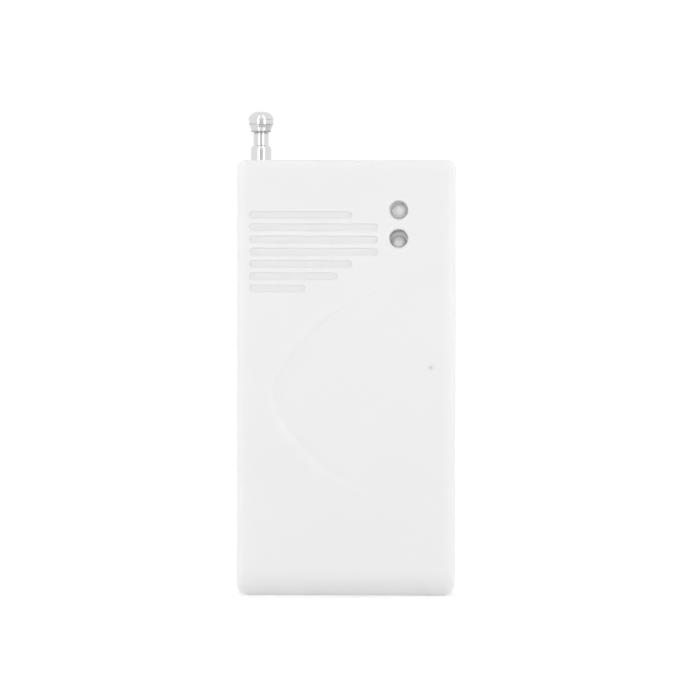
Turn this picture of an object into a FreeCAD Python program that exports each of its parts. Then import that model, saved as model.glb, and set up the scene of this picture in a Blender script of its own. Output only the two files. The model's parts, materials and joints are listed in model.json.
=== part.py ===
import FreeCAD, Part

# Wireless door sensor, the transmitter half, with a telescopic antenna.
# Millimetres. X runs to the right as seen from the front, Y runs back to the wall, Z runs up.
# The origin is the middle of the flat back, where the sensor is stuck or screwed to a frame.

import math
import os
from types import SimpleNamespace

import Sketcher
from FreeCAD import Rotation, Vector

doc = FreeCAD.newDocument("door_sensor")

# Driving sizes
SIZES = (
    # Case
    ("case_width", "35.7"),
    ("case_height", "71.0"),
    ("case_depth", "17.5"),
    ("back_depth", "5.0"),
    ("side_wall", "1.6"),
    ("front_wall", "1.8"),
    ("back_wall", "1.5"),
    ("top_corner", "1.5"),
    ("bottom_corner", "2.2"),
    ("side_round", "1.2"),
    ("top_round", "0.6"),
    ("back_round", "0.5"),
    ("nose_height", "4.7"),
    ("nose_radius", "5.9"),
    ("nose_turn", "35"),
    # Grooves across the front
    ("groove_width", "1.2"),
    ("groove_pitch", "1.99"),
    ("groove_depth", "0.3"),
    ("groove_inset", "2.03"),
    ("groove_drop", "8.98"),
    ("long_groove_gap", "3.37"),
    ("medium_groove_gap", "7.57"),
    ("short_groove_gap", "9.92"),
    ("last_groove_gap", "15.22"),
    ("groove_end_share", "0.48"),
    # Recessed dish on the front
    ("dish_inset", "6.01"),
    ("dish_drop", "39.3"),
    ("dish_depth", "0.34"),
    ("dish_turn", "3.8"),
    ("dish_slope", "0.94"),
    ("dish_tip_radius", "8.07"),
    ("dish_arm_radius", "28.4"),
    ("dish_tip_angle", "29.6"),
    ("dish_reach", "24.0"),
    ("step_run", "1.1"),
    # Lamp holes and gate mark
    ("lamp_inset", "9.35"),
    ("lamp_drop", "8.13"),
    ("lamp_pitch", "4.62"),
    ("lamp_hole", "3.0"),
    ("lamp_chamfer", "0.25"),
    ("upper_lamp_shift", "0.15"),
    ("upper_lamp_sag", "0.2"),
    ("lower_lamp_sag", "0.95"),
    ("lamp_gap", "0.2"),
    ("lens_diameter", "2.9"),
    ("flange_rim", "0.45"),
    ("flange_height", "1.0"),
    ("gate_inset", "4.05"),
    ("gate_drop", "33.75"),
    ("gate_diameter", "0.55"),
    ("gate_depth", "0.2"),
    # Antenna
    ("rod_diameter", "1.6"),
    ("tube_wall", "0.3"),
    ("section_gap", "0.15"),
    ("case_tube_gap", "0.1"),
    ("case_tube_rise", "11.3"),
    ("tube_side_gap", "0.07"),
    ("lower_tube_stands", "2.55"),
    ("lower_tube_shoulder", "0.7"),
    ("upper_tube_stands", "2.15"),
    ("slide_fit", "0.04"),
    ("hole_fit", "0.1"),
    ("crimp_length", "1.5"),
    ("bush_flange", "1.5"),
    ("bush_shank", "2.0"),
    ("stop_gap", "0.5"),
    ("rod_end", "1.0"),
    ("plug_length", "3.0"),
    ("knob_gap", "0.06"),
    ("knob_bore_depth", "2.2"),
    ("knob_foot", "3.2"),
    ("knob_neck", "3.54"),
    ("knob_taper", "0.72"),
    ("knob_band", "4.06"),
    ("knob_cone", "0.54"),
    ("knob_band_height", "0.72"),
    ("knob_diameter", "4.25"),
    ("knob_lip", "0.14"),
    ("knob_height", "3.36"),
    ("knob_dome", "1.65"),
    ("knob_flat", "1.1"),
    ("lug_thickness", "0.8"),
    ("lug_length", "8.4"),
    # Circuit board and posts
    ("board_depth", "9.0"),
    ("post_diameter", "4.6"),
    ("board_thickness", "1.2"),
    ("board_gap", "0.5"),
    ("board_split", "1.4"),
    ("strip_gap", "1.25"),
    ("ear_height", "6.5"),
    ("board_hole_fit", "0.2"),
    ("high_post_drop", "3.4"),
    ("low_post_inset", "3.3"),
    ("low_post_rise", "4.0"),
    ("high_boss_inset", "5.3"),
    ("high_boss_drop", "3.9"),
    ("low_boss_inset", "3.5"),
    ("low_boss_rise", "4.2"),
    ("post_floor", "0.5"),
    ("front_part_gap", "0.3"),
    ("lead_width", "0.5"),
    ("lead_spread", "0.77"),
    ("lead_root", "1.6"),
    ("anvil_top", "2.9"),
    ("anvil_size", "0.9"),
    ("wedge_size", "0.6"),
    # Screws
    ("screw_diameter", "2.2"),
    ("screw_length", "8.0"),
    ("screw_head", "3.9"),
    ("screw_head_height", "1.4"),
    ("small_screw_diameter", "2.0"),
    ("small_screw_tip_gap", "1.7"),
    ("small_screw_head", "3.6"),
    ("small_screw_head_height", "1.1"),
    ("thread_fit", "0.02"),
    ("screw_hole_fit", "0.15"),
    ("recess_fit", "0.25"),
    ("recess_floor", "1.0"),
    ("recess_depth", "2.6"),
    ("recess_wall", "0.9"),
    ("boss_wall", "1.3"),
    ("cross_width", "0.5"),
    ("cross_depth", "0.6"),
    # Battery bay
    ("battery_diameter", "10.3"),
    ("battery_length", "28.5"),
    ("battery_nub", "1.0"),
    ("battery_nub_diameter", "3.6"),
    ("battery_edge", "0.6"),
    ("battery_side_gap", "3.3"),
    ("battery_door_gap", "0.85"),
    ("battery_fit", "0.2"),
    ("contact_thickness", "0.4"),
    ("contact_width", "8.0"),
    ("spring_height", "2.2"),
    ("spring_wire", "0.5"),
    ("spring_turns", "2.5"),
    ("spring_foot", "6.6"),
    ("spring_tip", "4.4"),
    ("rib_thickness", "1.2"),
    ("rib_margin", "1.15"),
    ("rib_open", "0.25"),
    ("battery_rib_rise", "8.5"),
    ("battery_rib_pitch", "16.0"),
    ("tube_rib_rise", "21.0"),
    ("tube_rib_pitch", "24.0"),
    ("tube_rib_gap", "0.15"),
    # Battery door
    ("door_width", "26.0"),
    ("door_tongue", "0.9"),
    ("door_lip", "0.85"),
    ("door_thickness", "1.75"),
    ("door_fit", "0.1"),
    ("door_ledge", "0.9"),
    ("door_ledge_thickness", "0.95"),
    ("door_above_battery", "1.3"),
    ("door_end_gap", "0.2"),
    ("opening_above_battery", "0.4"),
    ("frame_above_battery", "3.3"),
    ("grip_count", "5"),
    ("grip_pitch", "1.6"),
    ("grip_width", "0.8"),
    ("grip_depth", "0.35"),
    ("grip_length", "12.0"),
    ("grip_drop", "4.0"),
    # Rim that centres the two case halves
    ("rim_tube_gap", "0.3"),
    ("rim_thickness", "0.8"),
    ("rim_fit", "0.1"),
    ("rim_foot", "3.0"),
    # Parts on the board
    ("pin_pitch", "2.0"),
    ("pin_width", "0.5"),
    ("pin_top_gap", "0.4"),
    ("header_height", "2.0"),
    ("jumper_frame_gap", "0.2"),
    ("header_rows", "8"),
    ("header_sink", "2.5"),
    ("jumper_gap", "0.05"),
    ("chip_length", "11.6"),
    ("chip_width", "7.5"),
    ("chip_thickness", "2.3"),
    ("chip_shift", "2.0"),
    ("chip_legs", "9"),
    ("leg_width", "0.5"),
    ("leg_reach", "1.0"),
    ("leg_drop", "0.15"),
    ("can_diameter", "8.4"),
    ("can_brim", "0.4"),
    ("can_height", "3.2"),
    ("can_rim", "0.5"),
    ("can_round", "0.5"),
    ("transistor_width", "4.4"),
    ("transistor_gap", "0.8"),
    ("electrolytic_diameter", "5.0"),
    ("choke_diameter", "2.8"),
    ("choke_length", "6.0"),
    ("lead_wire", "0.6"),
    ("reed_diameter", "2.2"),
    ("reed_length", "12.0"),
    ("reed_lead", "3.5"),
    ("reed_gap", "0.3"),
    ("reed_inset", "1.6"),
    ("reed_shift", "2.8"),
    ("reed_taper", "0.8"),
    ("can_inset", "6.5"),
    ("transistor_inset", "2.6"),
    ("transistor_leg_pitch", "1.27"),
    ("electrolytic_inset", "3.3"),
    ("electrolytic_rise", "9.7"),
    ("electrolytic_bead", "0.3"),
    ("choke_gap", "0.6"),
    ("choke_lift", "0.4"),
    ("choke_shoulder", "1.2"),
    ("resistor_inset", "1.5"),
    ("resistor_rise", "6.4"),
    ("resistor_pitch", "2.2"),
    ("resistor_thickness", "0.5"),
    ("capacitor_inset", "4.0"),
    ("capacitor_drop", "8.7"),
    ("capacitor_pitch", "2.6"),
    ("capacitor_thickness", "1.1"),
    ("chip_part_width", "1.25"),
    ("chip_part_length", "2.0"),
)

sheet = doc.addObject("Spreadsheet::Sheet", "Sizes")
for row, (alias, number) in enumerate(SIZES, start=1):
    sheet.set(f"A{row}", alias)
    sheet.set(f"B{row}", number)
    sheet.setAlias(f"B{row}", alias)
doc.recompute()


class Size:
    """A number together with the formula that the document keeps for it."""

    def __init__(self, number, formula):
        self.number = float(number)
        self.formula = formula

    def __add__(self, other):
        other = as_size(other)
        return Size(self.number + other.number, f"({self.formula} + {other.formula})")

    def __sub__(self, other):
        other = as_size(other)
        return Size(self.number - other.number, f"({self.formula} - {other.formula})")

    def __mul__(self, other):
        other = as_size(other)
        return Size(self.number * other.number, f"({self.formula} * {other.formula})")

    def __truediv__(self, other):
        other = as_size(other)
        return Size(self.number / other.number, f"({self.formula} / {other.formula})")

    def __neg__(self):
        return Size(-self.number, f"(-1 * {self.formula})")

    def __radd__(self, other):
        return as_size(other) + self

    def __rsub__(self, other):
        return as_size(other) - self

    def __rmul__(self, other):
        return as_size(other) * self


def as_size(value):
    if isinstance(value, Size):
        return value
    return Size(value, repr(float(value)))


def sine(angle):
    return Size(math.sin(math.radians(angle.number)), f"sin({angle.formula})")


def cosine(angle):
    return Size(math.cos(math.radians(angle.number)), f"cos({angle.formula})")


def root(size):
    return Size(math.sqrt(size.number), f"sqrt({size.formula})")


def steepness(rise, run):
    angle = math.degrees(math.atan(rise.number / run.number))
    return Size(angle, f"atan({rise.formula} / {run.formula})")


s = SimpleNamespace(**{alias: Size(sheet.get(alias), f"Sizes.{alias}") for alias, _ in SIZES})

# Planes of the case
right = s.case_width / 2
left = -right
top = s.case_height / 2
bottom = -top
front = -s.case_depth
parting = -s.back_depth
inner_right = right - s.side_wall
inner_left = left + s.side_wall
inner_top = top - s.side_wall
inner_bottom = bottom + s.side_wall
inner_front = front + s.front_wall

# Antenna sections, each drawn to slide in the next
upper_tube_bore = s.rod_diameter + 2 * s.section_gap
upper_tube_outer = upper_tube_bore + 2 * s.tube_wall
lower_tube_bore = upper_tube_outer + 2 * s.section_gap
lower_tube_outer = lower_tube_bore + 2 * s.tube_wall
case_tube_bore = lower_tube_outer + 2 * s.case_tube_gap
case_tube_outer = case_tube_bore + 2 * s.tube_wall

# Board planes, and the antenna, which runs behind the board's edge
board_back = -s.board_depth
board_front = board_back - s.board_thickness
post_height = board_front - inner_front
antenna_x = inner_left + case_tube_outer / 2 + s.tube_side_gap
antenna_y = board_back + s.lug_thickness / 2
case_tube_top = inner_top
case_tube_bottom = inner_bottom + s.case_tube_rise
case_tube_length = case_tube_top - case_tube_bottom
lug_bottom = case_tube_bottom - s.lug_length

# Battery, upright beside the lower strip of the board
battery_radius = s.battery_diameter / 2
battery_x = inner_right - s.battery_side_gap - battery_radius
battery_y = -(s.door_thickness + s.battery_door_gap + battery_radius)
battery_bottom = inner_bottom + s.contact_thickness + s.spring_height
battery_top = battery_bottom + s.battery_length
contact_top = battery_top + s.contact_thickness

# Board outline
board_left = antenna_x + case_tube_outer / 2 + s.board_gap
board_right = inner_right - s.board_gap
board_top = inner_top - s.board_gap
board_bottom = inner_bottom + s.board_gap
board_step = contact_top + s.board_split
board_middle = (board_left + board_right) / 2
board_level = (board_step + board_top) / 2
strip_right = battery_x - battery_radius - s.strip_gap
ear_left = inner_left + s.board_gap / 2
ear_top = lug_bottom + s.ear_height

# Places of the posts, bosses and lamps, as (x, z)
lamp_x = right - s.lamp_inset
lamp_places = tuple((lamp_x, top - s.lamp_drop - row * s.lamp_pitch) for row in range(2))
led_places = (
    (lamp_x + s.upper_lamp_shift, lamp_places[0][1] - s.upper_lamp_sag),
    (lamp_x, lamp_places[1][1] - s.lower_lamp_sag),
)
post_places = (
    (board_middle, board_top - s.high_post_drop),
    (board_left + s.low_post_inset, board_step + s.low_post_rise),
)
boss_places = (
    (board_left + s.high_boss_inset, board_top - s.high_boss_drop),
    (board_right - s.low_boss_inset, board_step + s.low_boss_rise),
)
lug_screw_place = (antenna_x, lug_bottom + s.ear_height / 2)
small_screw_length = post_height + s.board_thickness - s.small_screw_tip_gap

# Door and its frame
door_top = battery_top + s.door_above_battery
door_bottom = bottom + s.door_end_gap
opening_top = battery_top + s.opening_above_battery
frame_top = battery_top + s.frame_above_battery
lip_half = s.door_width / 2 + s.door_fit
groove_half = lip_half + s.door_tongue
opening_half = lip_half - s.door_ledge
frame_depth = s.door_thickness + s.door_fit + s.door_ledge_thickness

PARTS = []


def keep(item):
    """Mark an object as a sub-part with a file of its own."""
    PARTS.append(item)
    return item


def bind(item, prop, size):
    item.setExpression(prop, as_size(size).formula)


def place(item, x=0, y=0, z=0):
    for axis, size in (("x", x), ("y", y), ("z", z)):
        bind(item, f"Placement.Base.{axis}", size)
    return item


def stand(item, x, z, behind=False):
    """Stand a piece drawn upright on the front face of the board, or on its back face."""
    item.Placement.Rotation = Rotation(Vector(1, 0, 0), -90 if behind else 90)
    return place(item, x, board_back if behind else board_front, z)


def new_body(label):
    return doc.addObject("PartDesign::Body", label)


def sketch(body, name, plane, offset=0):
    item = body.newObject("Sketcher::SketchObject", name)
    support = next(part for part in body.Origin.OriginFeatures if part.Role == plane)
    item.AttachmentSupport = (support, [""])
    item.MapMode = "FlatFace"
    bind(item, "AttachmentOffset.Base.z", offset)
    return item


def pin(item, piece, end, across, up):
    """Hold one point of a drawn line at its distances from the sketch's origin."""
    for kind, size, axis in (("DistanceX", across, -2), ("DistanceY", up, -1)):
        size = as_size(size)
        if abs(size.number) < 1e-9:
            item.addConstraint(Sketcher.Constraint("PointOnObject", piece, end, axis))
            continue
        index = item.addConstraint(Sketcher.Constraint(kind, -1, 1, piece, end, size.number))
        item.setExpression(f"Constraints[{index}]", size.formula)


def arc_between(begin, finish, radius):
    """An arc under half a turn, anticlockwise for a radius above zero."""
    middle = (begin + finish) / 2
    chord = finish - begin
    rise = math.sqrt(max(radius * radius - chord.Length * chord.Length / 4, 0))
    side = Vector(-chord.y, chord.x, 0).normalize() * math.copysign(rise, radius)
    centre = middle + side
    if radius < 0:
        begin, finish = finish, begin
    angles = [math.atan2(point.y - centre.y, point.x - centre.x) for point in (begin, finish)]
    return Part.ArcOfCircle(Part.Circle(centre, Vector(0, 0, 1), abs(radius)), *angles)


def draw(item, corners):
    """Draw a closed outline through (across, up) corners.

    A third value is the radius of an arc to the next corner, above zero where it turns
    anticlockwise.
    """
    points = [Vector(as_size(c[0]).number, as_size(c[1]).number, 0) for c in corners]
    ends = []
    for index, corner in enumerate(corners):
        begin = points[index]
        finish = points[(index + 1) % len(points)]
        if len(corner) == 2:
            piece = item.addGeometry(Part.LineSegment(begin, finish), False)
            ends.append((piece, 1, 2))
            continue
        radius = as_size(corner[2])
        piece = item.addGeometry(arc_between(begin, finish, radius.number), False)
        size = radius if radius.number > 0 else -radius
        held = item.addConstraint(Sketcher.Constraint("Radius", piece, size.number))
        item.setExpression(f"Constraints[{held}]", size.formula)
        ends.append((piece, 1, 2) if radius.number > 0 else (piece, 2, 1))
    for index, corner in enumerate(corners):
        piece, start, _ = ends[index]
        before, _, finish = ends[index - 1]
        item.addConstraint(Sketcher.Constraint("Coincident", before, finish, piece, start))
        pin(item, piece, start, corner[0], corner[1])
    return item


def draw_box(item, low_x, low_y, high_x, high_y):
    return draw(item, ((low_x, low_y), (high_x, low_y), (high_x, high_y), (low_x, high_y)))


def draw_circles(item, diameter, places):
    for across, up in places:
        centre = Vector(as_size(across).number, as_size(up).number, 0)
        circle = Part.Circle(centre, Vector(0, 0, 1), as_size(diameter).number / 2)
        piece = item.addGeometry(circle, False)
        pin(item, piece, 3, across, up)
        held = item.addConstraint(Sketcher.Constraint("Diameter", piece, as_size(diameter).number))
        bind(item, f"Constraints[{held}]", diameter)
    return item


def rounded_outline(low_x, low_y, high_x, high_y, low_round, high_round):
    """Corners of an upright rectangle with its own radius at the foot and at the head."""
    return (
        (low_x + low_round, low_y),
        (high_x - low_round, low_y, low_round),
        (high_x, low_y + low_round),
        (high_x, high_y - high_round, high_round),
        (high_x - high_round, high_y),
        (low_x + high_round, high_y, high_round),
        (low_x, high_y - high_round),
        (low_x, low_y + low_round, low_round),
    )


def pad(body, profile, length, midplane=False, turned=False):
    item = body.newObject("PartDesign::Pad", f"{profile.Label}_pad")
    item.Profile = profile
    item.Midplane = midplane
    item.Reversed = turned
    bind(item, "Length", length)
    return item


def pocket(body, profile, length, midplane=False, turned=False):
    item = body.newObject("PartDesign::Pocket", f"{profile.Label}_cut")
    item.Profile = profile
    item.Midplane = midplane
    item.Reversed = turned
    bind(item, "Length", length)
    return item


def turn(body, profile):
    item = body.newObject("PartDesign::Revolution", f"{profile.Label}_turned")
    item.Profile = profile
    item.ReferenceAxis = (profile, ["V_Axis"])
    item.Angle = 360
    return item


def turned_body(label, corners):
    """A round piece: a half section in the XZ plane, turned about the Z axis."""
    body = new_body(label)
    turn(body, draw(sketch(body, f"{label}_section", "XZ_Plane"), corners))
    return body


def dress_edges(body, kind, prop, size, test):
    """Round or bevel the edges of the body's last feature that pass the test."""
    doc.recompute()
    base = body.Tip
    names = [f"Edge{i}" for i, edge in enumerate(base.Shape.Edges, start=1) if test(edge)]
    item = body.newObject(f"PartDesign::{kind}", f"{base.Label}_{kind.lower()}")
    item.Base = (base, names)
    bind(item, prop, size)
    return item


def box(label, x, y, z, width, depth, height):
    item = doc.addObject("Part::Box", label)
    bind(item, "Length", width)
    bind(item, "Width", depth)
    bind(item, "Height", height)
    return place(item, x, y, z)


def cylinder(label, diameter, height):
    item = doc.addObject("Part::Cylinder", label)
    bind(item, "Radius", as_size(diameter) / 2)
    bind(item, "Height", height)
    return item


def group(label, items, kind="Part::Compound"):
    item = doc.addObject(kind, label)
    if kind == "Part::Compound":
        item.Links = items
    else:
        item.Shapes = items
    return item


def cut(label, base, tool):
    item = doc.addObject("Part::Cut", label)
    item.Base = base
    item.Tool = tool
    return item


# Moulded front half of the case
def front_cover():
    body = new_body("front_cover")
    round_x = right - s.side_round
    round_y = front + s.side_round
    section = sketch(body, "cover_section", "XY_Plane")
    draw(section, (
        (left, parting),
        (left, round_y, s.side_round),
        (-round_x, front),
        (round_x, front, s.side_round),
        (right, round_y),
        (right, parting),
    ))
    pad(body, section, s.case_height, midplane=True)

    # Curved nose at the foot and a small rounding at the head, cut from the side
    clear = 1
    nose_z = bottom + s.nose_height
    arc_y = front + s.nose_radius * (1 - cosine(s.nose_turn))
    arc_z = nose_z - s.nose_radius * sine(s.nose_turn)
    slant = (arc_z - bottom) * sine(s.nose_turn) / cosine(s.nose_turn)
    side = sketch(body, "cover_side", "YZ_Plane")
    draw(side, (
        (front - clear, nose_z),
        (front - clear, bottom - clear),
        (arc_y + slant, bottom - clear),
        (arc_y + slant, bottom),
        (arc_y, arc_z, -s.nose_radius),
        (front, nose_z),
    ))
    draw(side, (
        (front - clear, top - s.top_round),
        (front, top - s.top_round, -s.top_round),
        (front + s.top_round, top),
        (front + s.top_round, top + clear),
        (front - clear, top + clear),
    ))
    pocket(body, side, s.case_width + 2 * clear, midplane=True)

    # Rounded corners of the front view
    corners = sketch(body, "cover_corners", "XZ_Plane")
    draw_box(corners, left - clear, bottom - clear, right + clear, top + clear)
    draw(corners, rounded_outline(left, bottom, right, top, s.bottom_corner, s.top_corner))
    pocket(body, corners, s.case_depth + clear, turned=True)

    # Inside, with the wall following the nose
    inner_radius = s.nose_radius - s.front_wall
    inner_y = front + s.nose_radius - inner_radius * cosine(s.nose_turn)
    inner_z = nose_z - inner_radius * sine(s.nose_turn)
    inner_slant = (inner_z - inner_bottom) * sine(s.nose_turn) / cosine(s.nose_turn)
    hollow = sketch(body, "cover_hollow", "YZ_Plane")
    draw(hollow, (
        (parting + clear, inner_bottom),
        (parting + clear, inner_top),
        (inner_front, inner_top),
        (inner_front, nose_z, inner_radius),
        (inner_y, inner_z),
        (inner_y + inner_slant, inner_bottom),
    ))
    pocket(body, hollow, s.case_width - 2 * s.side_wall, midplane=True)

    cover_ribs(body)
    cover_posts(body)
    cover_grooves(body)
    cover_dish(body)

    # Lamp holes, gate mark and the hole that the antenna slides through
    lamps = sketch(body, "lamp_holes", "XZ_Plane", s.case_depth)
    pocket(body, draw_circles(lamps, s.lamp_hole, lamp_places), s.front_wall)
    dress_edges(body, "Chamfer", "Size", s.lamp_chamfer, is_lamp_edge)
    gate = sketch(body, "gate_mark", "XZ_Plane", s.case_depth)
    gate_place = (right - s.gate_inset, top - s.gate_drop)
    pocket(body, draw_circles(gate, s.gate_diameter, (gate_place,)), s.gate_depth)
    mouth = sketch(body, "antenna_hole", "XY_Plane", top + clear)
    mouth_size = lower_tube_outer + 2 * s.hole_fit
    draw_circles(mouth, mouth_size, ((antenna_x, antenna_y),))
    pocket(body, mouth, s.side_wall + 1.5 * clear)
    return keep(body)


def is_lamp_edge(edge):
    round_edge = isinstance(edge.Curve, Part.Circle)
    size_fits = round_edge and abs(edge.Curve.Radius - s.lamp_hole.number / 2) < 1e-6
    return size_fits and abs(edge.Curve.Center.y - front.number) < 1e-6


# Saddle ribs that the battery and the antenna's case tube lie in
def cover_ribs(body):
    saddle_y = battery_y - s.rib_open
    saddle_half = battery_radius + s.rib_margin
    tube_right = antenna_x + case_tube_outer / 2 + s.tube_rib_gap
    for row in range(2):
        level = inner_bottom + s.battery_rib_rise + row * s.battery_rib_pitch
        ribs = sketch(body, f"battery_rib_{row + 1}", "XY_Plane", level)
        draw_box(ribs, battery_x - saddle_half, inner_front, battery_x + saddle_half, saddle_y)
        pad(body, ribs, s.rib_thickness)
    for row in range(2):
        level = inner_bottom + s.tube_rib_rise + row * s.tube_rib_pitch
        ribs = sketch(body, f"tube_rib_{row + 1}", "XY_Plane", level)
        draw_box(ribs, inner_left, inner_front, tube_right, antenna_y)
        pad(body, ribs, s.rib_thickness)
    bay = sketch(body, "battery_bay", "XY_Plane", inner_bottom)
    draw_circles(bay, s.battery_diameter + 2 * s.battery_fit, ((battery_x, battery_y),))
    pocket(body, bay, contact_top - inner_bottom, turned=True)
    seat = sketch(body, "tube_seat", "XY_Plane", case_tube_bottom)
    draw_circles(seat, case_tube_outer + s.slide_fit, ((antenna_x, antenna_y),))
    pocket(body, seat, case_tube_length, turned=True)


# Posts under the board and bosses for the case screws
def cover_posts(body):
    wall = -inner_front
    posts = sketch(body, "board_posts", "XZ_Plane", wall)
    pad(body, draw_circles(posts, s.post_diameter, post_places), post_height, turned=True)
    lug_post = sketch(body, "lug_post", "XZ_Plane", wall)
    lug_size = s.post_diameter - s.board_gap
    pad(body, draw_circles(lug_post, lug_size, (lug_screw_place,)), post_height, turned=True)
    boss_size = s.screw_diameter + 2 * s.boss_wall
    boss_end = -(s.recess_depth + s.recess_floor)
    bosses = sketch(body, "screw_bosses", "XZ_Plane", wall)
    pad(body, draw_circles(bosses, boss_size, boss_places), boss_end - inner_front, turned=True)

    small_hole = s.small_screw_diameter + 2 * s.thread_fit
    small_holes = sketch(body, "board_screw_holes", "XZ_Plane", -board_front)
    draw_circles(small_holes, small_hole, (*post_places, lug_screw_place))
    pocket(body, small_holes, post_height - s.post_floor, turned=True)
    holes = sketch(body, "case_screw_holes", "XZ_Plane", -boss_end)
    draw_circles(holes, s.screw_diameter + 2 * s.thread_fit, boss_places)
    pocket(body, holes, s.screw_length, turned=True)


# Blind grooves with round ends, a comb that shortens towards the lamps and the dish
def cover_grooves(body):
    gaps = (
        s.medium_groove_gap,
        s.long_groove_gap,
        s.long_groove_gap,
        s.long_groove_gap,
        s.medium_groove_gap,
        s.short_groove_gap,
        s.last_groove_gap,
    )
    half = s.groove_width / 2
    end_round = s.groove_end_share * s.groove_width
    start = left + s.groove_inset
    comb = sketch(body, "grooves", "XZ_Plane", s.case_depth)
    for row, gap in enumerate(gaps):
        level = top - s.groove_drop - row * s.groove_pitch
        draw(comb, rounded_outline(start, level - half, lamp_x - gap, level + half,
                                   end_round, end_round))
    pocket(body, comb, s.groove_depth)


# Shallow dish, deepest at its tip and running out to the face, with a sloped step
def cover_dish(body):
    tip = s.dish_tip_radius
    arm = s.dish_arm_radius
    drop = s.dish_depth + s.step_run / 10

    def dish_sketch(name, grow, level):
        item = sketch(body, name, "XZ_Plane", s.case_depth - s.dish_depth + level)
        bind(item, "AttachmentOffset.Base.x", left + s.dish_inset)
        bind(item, "AttachmentOffset.Base.y", top - s.dish_drop)
        bind(item, "AttachmentOffset.Rotation.Yaw", s.dish_turn)
        bind(item, "AttachmentOffset.Rotation.Pitch", -s.dish_slope)
        small = tip + grow
        large = arm + grow
        join_x = tip - small * cosine(s.dish_tip_angle)
        join_y = small * sine(s.dish_tip_angle)
        centre_x = tip + (arm - tip) * cosine(s.dish_tip_angle)
        centre_y = (arm - tip) * sine(s.dish_tip_angle)
        run = s.dish_reach - centre_x
        end_y = root(large * large - run * run) - centre_y
        draw(item, (
            (s.dish_reach, -end_y),
            (s.dish_reach, end_y, large),
            (join_x, join_y, small),
            (join_x, -join_y, large),
        ))
        return item

    floor = dish_sketch("dish_floor", -s.step_run / 2, 0)
    slope = s.step_run / s.dish_depth
    rim = dish_sketch("dish_rim", -s.step_run / 2 + 2 * drop * slope, 2 * drop)
    loft = body.newObject("PartDesign::SubtractiveLoft", "dish")
    loft.Profile = floor
    loft.Sections = [rim]
    loft.Ruled = True


# Back half of the case, with the frame that the battery door slides in
def back_cover():
    body = new_body("back_cover")
    outline = sketch(body, "back_outline", "XZ_Plane")
    draw(outline, rounded_outline(left, bottom, right, top, s.bottom_corner, s.top_corner))
    pad(body, outline, s.back_depth)
    dress_edges(body, "Fillet", "Radius", s.back_round, is_back_edge)

    hollow = sketch(body, "back_hollow", "XZ_Plane", s.back_depth)
    draw_box(hollow, inner_left, inner_bottom, inner_right, inner_top)
    pocket(body, hollow, s.back_depth - s.back_wall)

    # Frame round three sides of the battery opening
    frame = sketch(body, "door_frame", "XZ_Plane", s.back_wall)
    draw(frame, (
        (inner_left, inner_bottom),
        (-opening_half, inner_bottom),
        (-opening_half, opening_top),
        (opening_half, opening_top),
        (opening_half, inner_bottom),
        (inner_right, inner_bottom),
        (inner_right, frame_top),
        (inner_left, frame_top),
    ))
    pad(body, frame, frame_depth - s.back_wall)

    # Cups for the screw heads
    recess = s.screw_head + 2 * s.recess_fit
    cups = sketch(body, "screw_cups", "XZ_Plane")
    draw_circles(cups, recess + 2 * s.recess_wall, boss_places)
    pad(body, cups, s.recess_depth + s.recess_floor)
    heads = sketch(body, "screw_recesses", "XZ_Plane")
    pocket(body, draw_circles(heads, recess, boss_places), s.recess_depth, turned=True)
    holes = sketch(body, "screw_holes", "XZ_Plane")
    draw_circles(holes, s.screw_diameter + 2 * s.screw_hole_fit, boss_places)
    pocket(body, holes, s.back_depth, turned=True)

    # Rim that lies inside the front half, on both sides and across the head
    rim_x = inner_right - s.rim_fit
    rim_z = inner_top - s.rim_fit
    foot = frame_top + s.rim_foot
    rim = sketch(body, "centring_rim", "XZ_Plane", s.back_wall)
    draw(rim, (
        (-rim_x, foot),
        (s.rim_thickness - rim_x, foot),
        (s.rim_thickness - rim_x, rim_z - s.rim_thickness),
        (rim_x - s.rim_thickness, rim_z - s.rim_thickness),
        (rim_x - s.rim_thickness, foot),
        (rim_x, foot),
        (rim_x, rim_z),
        (-rim_x, rim_z),
    ))
    rim_end = antenna_y + case_tube_outer / 2 + s.rim_tube_gap
    pad(body, rim, -rim_end - s.back_wall)

    # Opening, then the slot for the door's tongues under two lips
    opening = sketch(body, "battery_opening", "XZ_Plane")
    draw_box(opening, -opening_half, inner_bottom, opening_half, opening_top)
    pocket(body, opening, frame_depth, turned=True)
    door_end = door_top + s.door_fit
    below = bottom - 1
    lips = sketch(body, "door_gap", "XZ_Plane")
    draw_box(lips, -lip_half, below, lip_half, door_end)
    pocket(body, lips, s.door_thickness + s.door_fit, turned=True)
    slots = sketch(body, "door_slots", "XZ_Plane", s.door_lip)
    draw_box(slots, -groove_half, below, groove_half, door_end)
    pocket(body, slots, s.door_thickness + s.door_fit - s.door_lip, turned=True)
    return keep(body)


def is_back_edge(edge):
    return all(abs(vertex.Point.y) < 1e-6 for vertex in edge.Vertexes)


# Sliding battery door with side tongues and finger grooves
def battery_door():
    body = new_body("battery_door")
    half = s.door_width / 2
    tongue_half = half + s.door_tongue
    tongue_front = s.door_lip + s.door_fit
    profile = sketch(body, "door_section", "XY_Plane", door_bottom)
    draw(profile, (
        (-tongue_half, -s.door_thickness),
        (tongue_half, -s.door_thickness),
        (tongue_half, -tongue_front),
        (half, -tongue_front),
        (half, 0),
        (-half, 0),
        (-half, -tongue_front),
        (-tongue_half, -tongue_front),
    ))
    pad(body, profile, door_top - door_bottom)
    grip = sketch(body, "door_grip", "XZ_Plane")
    for row in range(int(s.grip_count.number)):
        level = door_top - s.grip_drop - row * s.grip_pitch
        draw_box(grip, -s.grip_length / 2, level - s.grip_width / 2,
                 s.grip_length / 2, level + s.grip_width / 2)
    pocket(body, grip, s.grip_depth, turned=True)
    return keep(body)


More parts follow.
